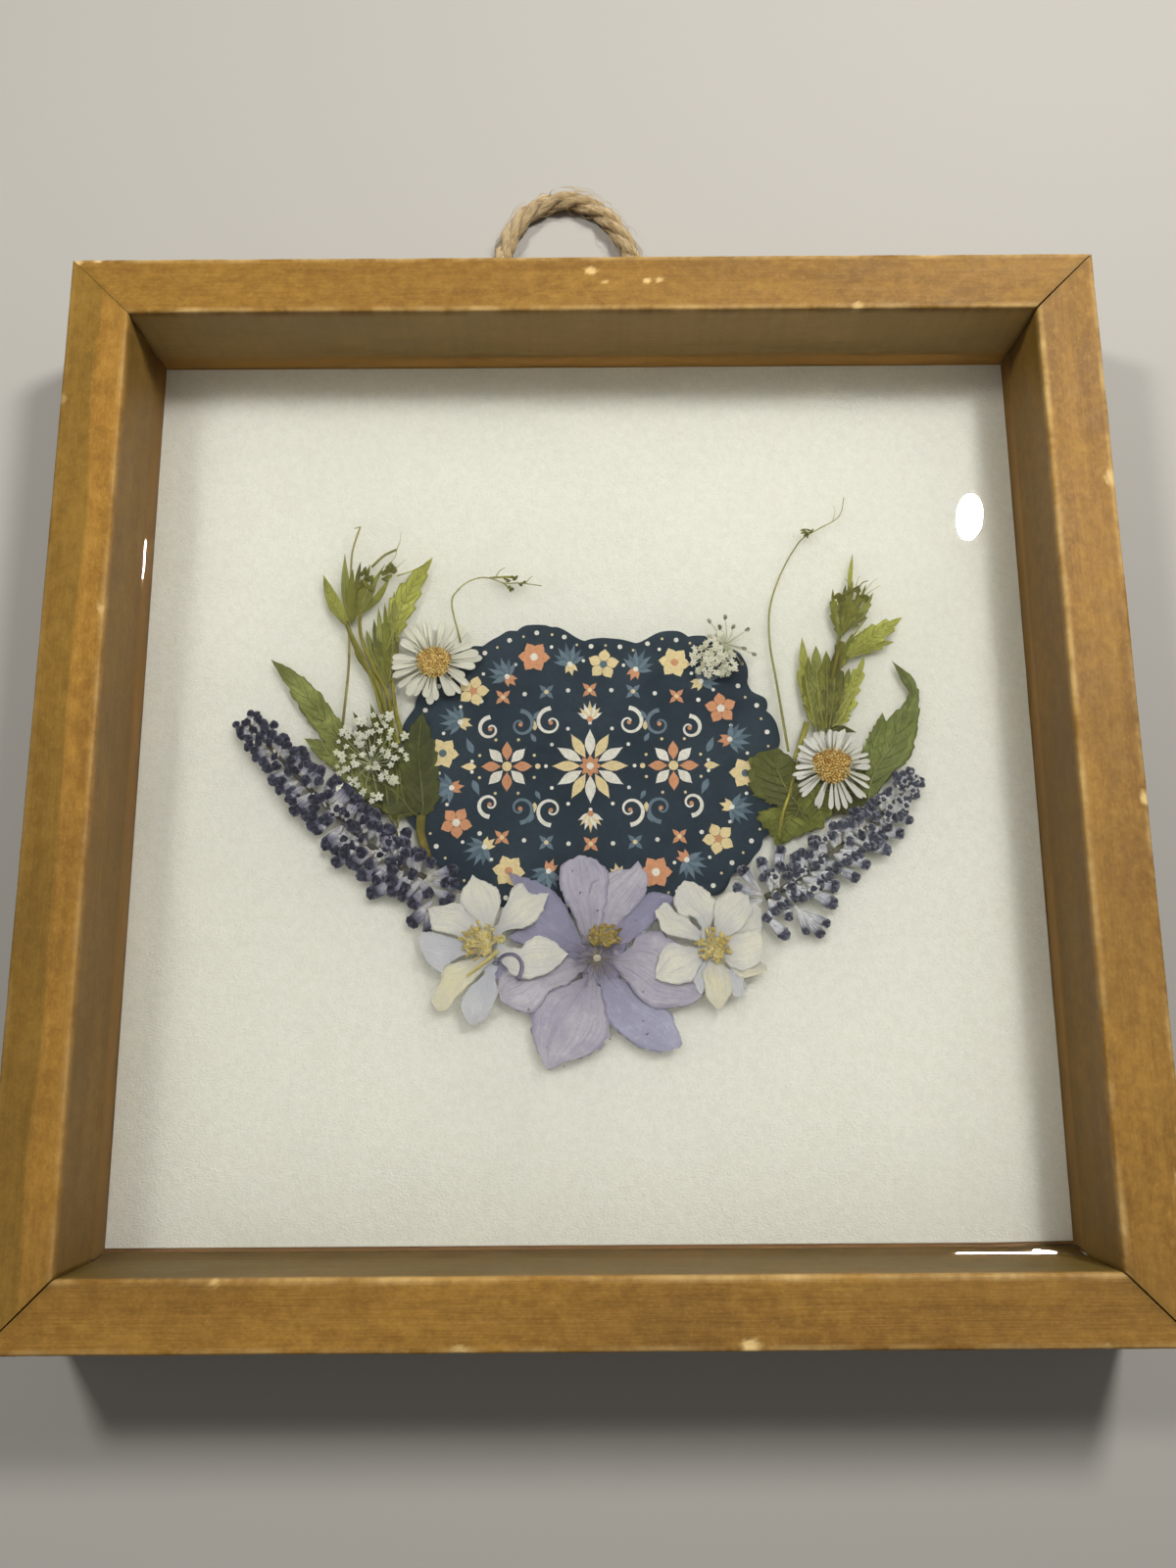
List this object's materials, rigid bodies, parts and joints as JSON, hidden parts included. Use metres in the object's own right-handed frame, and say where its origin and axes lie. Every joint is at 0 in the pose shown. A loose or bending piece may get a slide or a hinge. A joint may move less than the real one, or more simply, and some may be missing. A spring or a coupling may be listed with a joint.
{
  "type": "pressed flower frame",
  "caption": "Square mitred wooden frame with pressed flowers and a scalloped plaque cast in clear resin on a white card, and a cord loop to hang it.",
  "frame": {"origin": "middle of the frame's back, which it lies on", "axes": "+Z out of the front, the way the flowers face; +Y towards the top, where the cord loop is; +X to the viewer's right"},
  "size_m": [0.228, 0.267, 0.032],
  "materials": {
    "frame_wood": "ochre stain, satin, worn edges",
    "panel_wood": "plain, matte",
    "white_card": "off-white, faint canvas tooth",
    "clear_resin": "clear cast resin, glossy",
    "plaque_paper": "dark teal with a printed ornament",
    "leaf_green": "dried leaf, matte",
    "sprig_green": "dried stem and leaf, matte",
    "lavender_petal": "dried petal, thin and veined",
    "white_petal": "dried petal, thin and veined",
    "daisy_petal": "dried petal, thin",
    "lace_cream": "dried florets, matte",
    "hyacinth_dark": "dried bells, matte",
    "hyacinth_pale": "dried bells, matte",
    "jute": "twisted jute, hairy"
  },
  "bodies": {
    "root": {"rail_top": "frame_wood", "rail_bottom": "frame_wood", "rail_left": "frame_wood", "rail_right": "frame_wood", "back_panel": "panel_wood", "backing_card": "white_card", "resin_floor": "clear_resin", "resin_cover": "clear_resin", "scalloped_plaque": "plaque_paper", "leaf_left": "leaf_green", "leaf_right": "leaf_green", "sprig_left": "sprig_green", "sprig_right": "sprig_green", "tendril_left": "sprig_green", "tendril_right": "sprig_green", "columbine_middle": "lavender_petal", "columbine_left": "white_petal", "columbine_right": "white_petal", "daisy_left": "daisy_petal", "daisy_right": "daisy_petal", "lace_flower_left": "lace_cream", "lace_flower_right": "lace_cream", "hyacinth_left": "hyacinth_dark", "hyacinth_right": "hyacinth_pale", "hanging_loop": "jute"}
  },
  "joints": []
}
